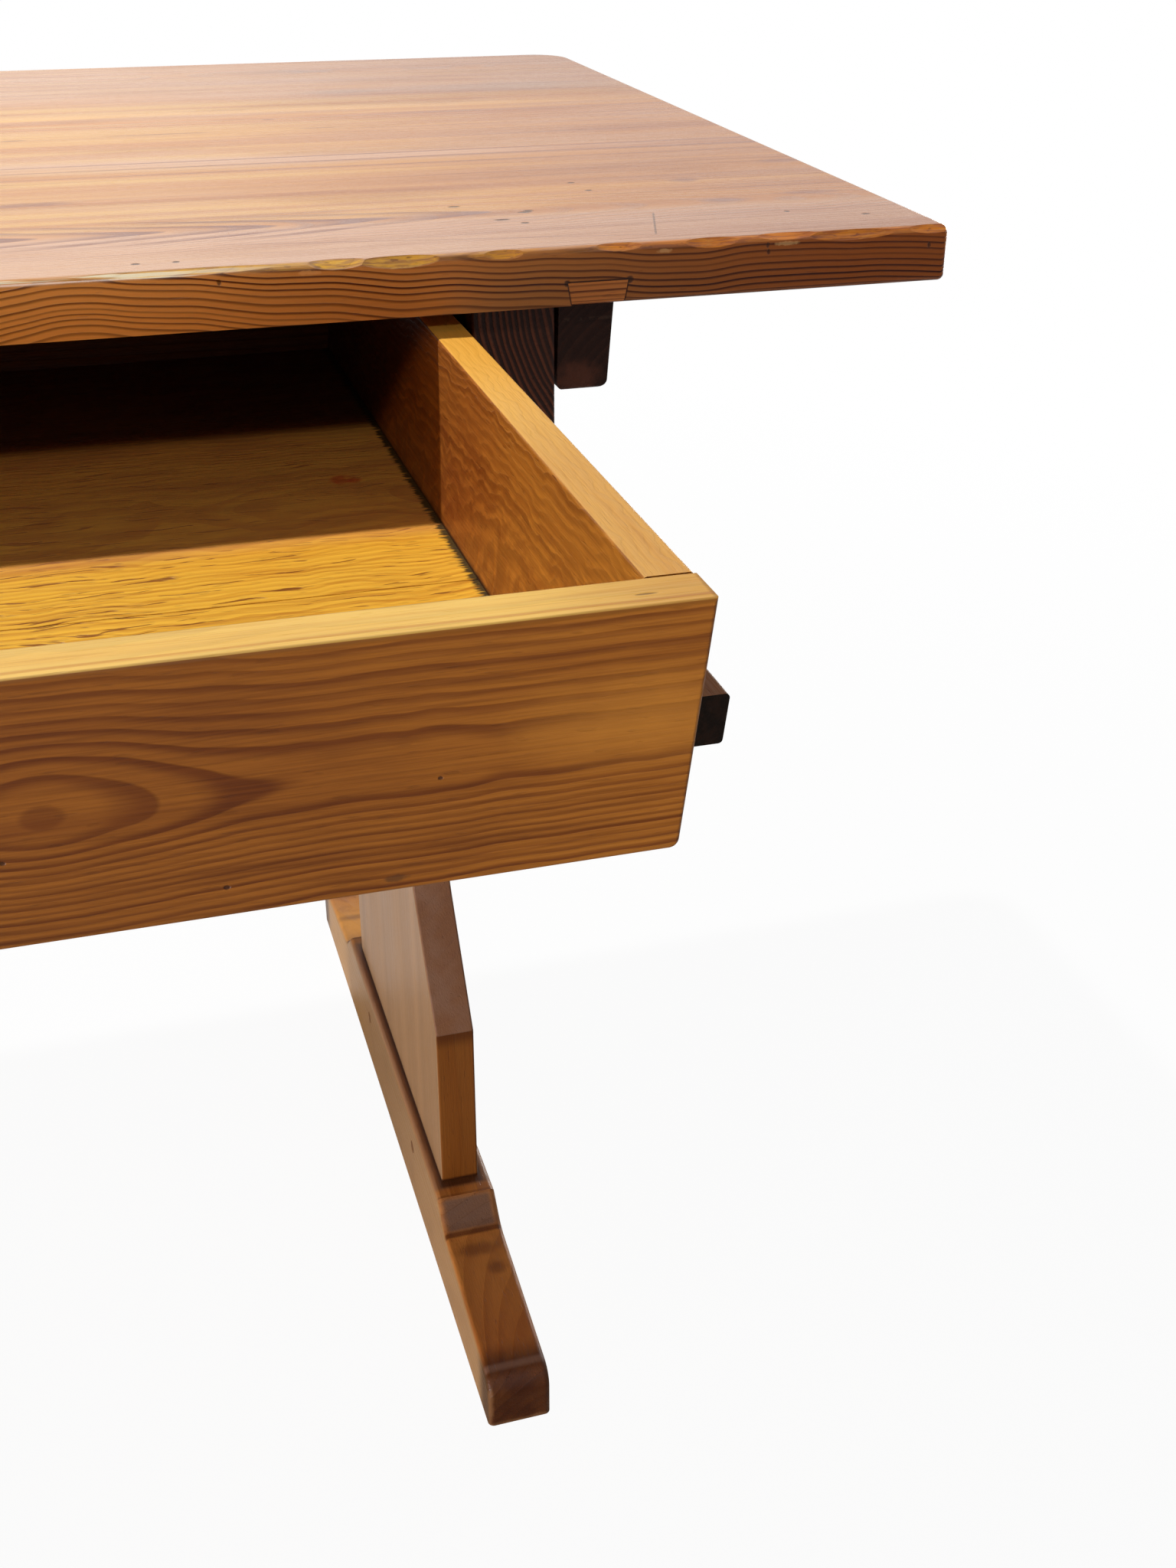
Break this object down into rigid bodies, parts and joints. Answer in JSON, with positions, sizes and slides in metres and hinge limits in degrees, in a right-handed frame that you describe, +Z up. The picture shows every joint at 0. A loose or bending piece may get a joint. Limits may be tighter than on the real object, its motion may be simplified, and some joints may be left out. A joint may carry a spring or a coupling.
{
  "type": "trestle table",
  "caption": "Pine trestle table: boarded top on waisted board trestles with sled feet and a wedged stretcher, and a wide canted drawer that slides out on side strips.",
  "frame": {"origin": "on the floor, at the middle of the box that holds the table with its drawer open as stored", "axes": "+X along the table's length, +Y from the drawer's front to the back, +Z up"},
  "size_m": [1.2, 1.025, 0.76],
  "materials": {
    "top_pine": "old waxed pine, worn glossy",
    "trestle_pine": "old waxed pine, dull",
    "dark_pine": "darkened pine, dull",
    "drawer_pine": "old pine, dry inside",
    "peg_wood": "whittled hardwood, dull"
  },
  "bodies": {
    "table": {"top_board_front": "top_pine", "top_board_middle": "top_pine", "top_board_back": "top_pine", "batten_right": "dark_pine", "batten_left": "dark_pine", "slot_plug_front_right": "top_pine", "slot_plug_front_left": "top_pine", "slot_plug_back_right": "top_pine", "slot_plug_back_left": "top_pine", "batten_pegs": "peg_wood", "head_rail_right": "dark_pine", "head_rail_left": "dark_pine", "upright_right": "trestle_pine", "upright_left": "trestle_pine", "foot_right": "trestle_pine", "foot_left": "trestle_pine", "rail_pegs": "peg_wood", "foot_pegs": "peg_wood", "stretcher": "trestle_pine", "tusk_right": "peg_wood", "tusk_left": "peg_wood"},
    "drawer": {"drawer_front": "drawer_pine", "drawer_side_right": "drawer_pine", "drawer_side_left": "drawer_pine", "drawer_back": "drawer_pine", "drawer_floor_front": "drawer_pine", "drawer_floor_middle": "drawer_pine", "drawer_floor_back": "drawer_pine", "drawer_runner_right": "dark_pine", "drawer_runner_left": "dark_pine", "drawer_knob": "peg_wood"}
  },
  "joints": [
    {"name": "drawer_slide", "type": "slide", "parent": "table", "child": "drawer", "axis": [0, -1, 0], "range_m": [-0.341, 0.12]}
  ]
}
